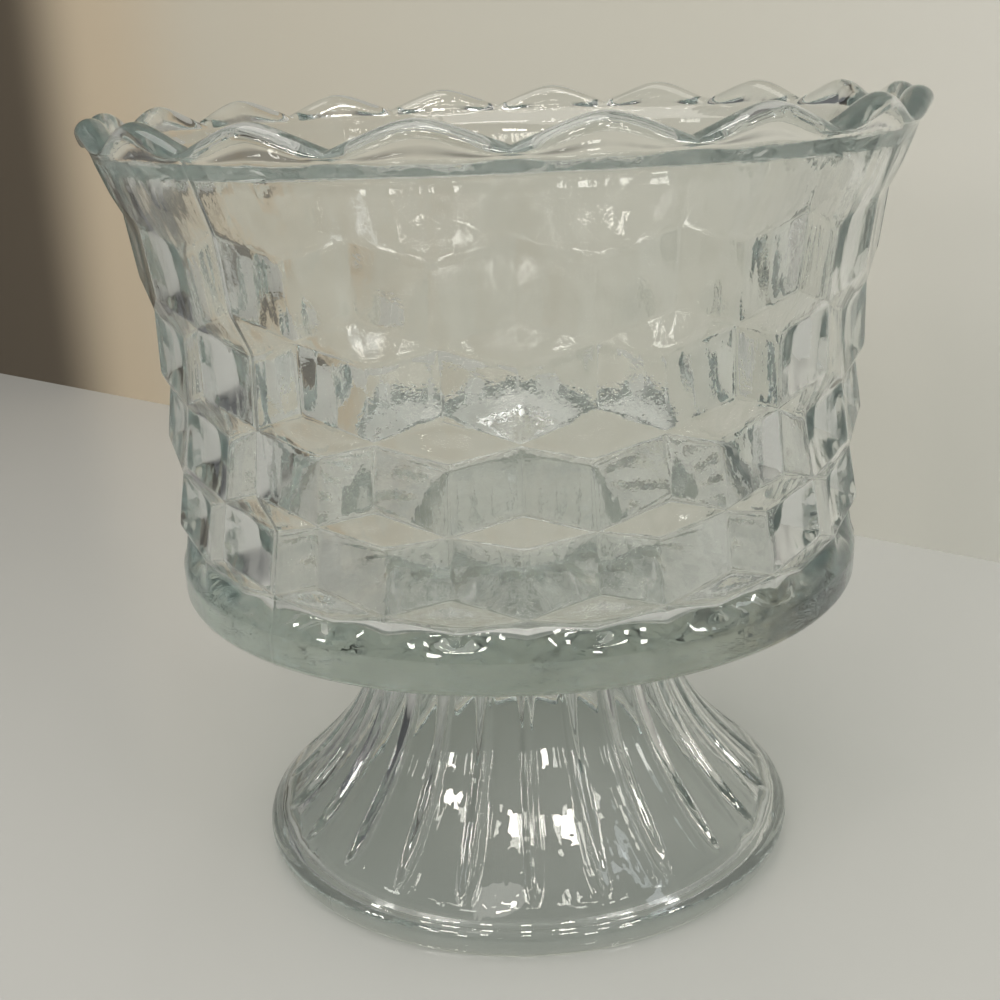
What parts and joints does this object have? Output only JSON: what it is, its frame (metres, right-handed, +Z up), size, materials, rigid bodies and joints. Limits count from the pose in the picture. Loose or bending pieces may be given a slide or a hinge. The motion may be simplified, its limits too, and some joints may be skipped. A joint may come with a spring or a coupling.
{
  "type": "footed glass bowl",
  "caption": "Deep clear pressed-glass bowl with a cube-relief wall and a scalloped flared rim, joined to a hollow fluted trumpet foot.",
  "frame": {"origin": "on the table, at the centre of the foot's standing ring", "axes": "+Z up along the bowl's axis; -Y towards the front, with a valley of the scalloped rim on -Y and a peak on +X"},
  "size_m": [0.22, 0.2178, 0.2134],
  "materials": {
    "bowl_glass": "clear pressed soda-lime glass, fire-polished, faint grey-green tint, lightly pebbled mould texture outside",
    "foot_glass": "clear pressed soda-lime glass, fire-polished, faint grey-green tint, fluted outside and smooth inside the hollow"
  },
  "bodies": {
    "root": {"bowl": "bowl_glass", "pedestal_foot": "foot_glass"}
  },
  "joints": []
}
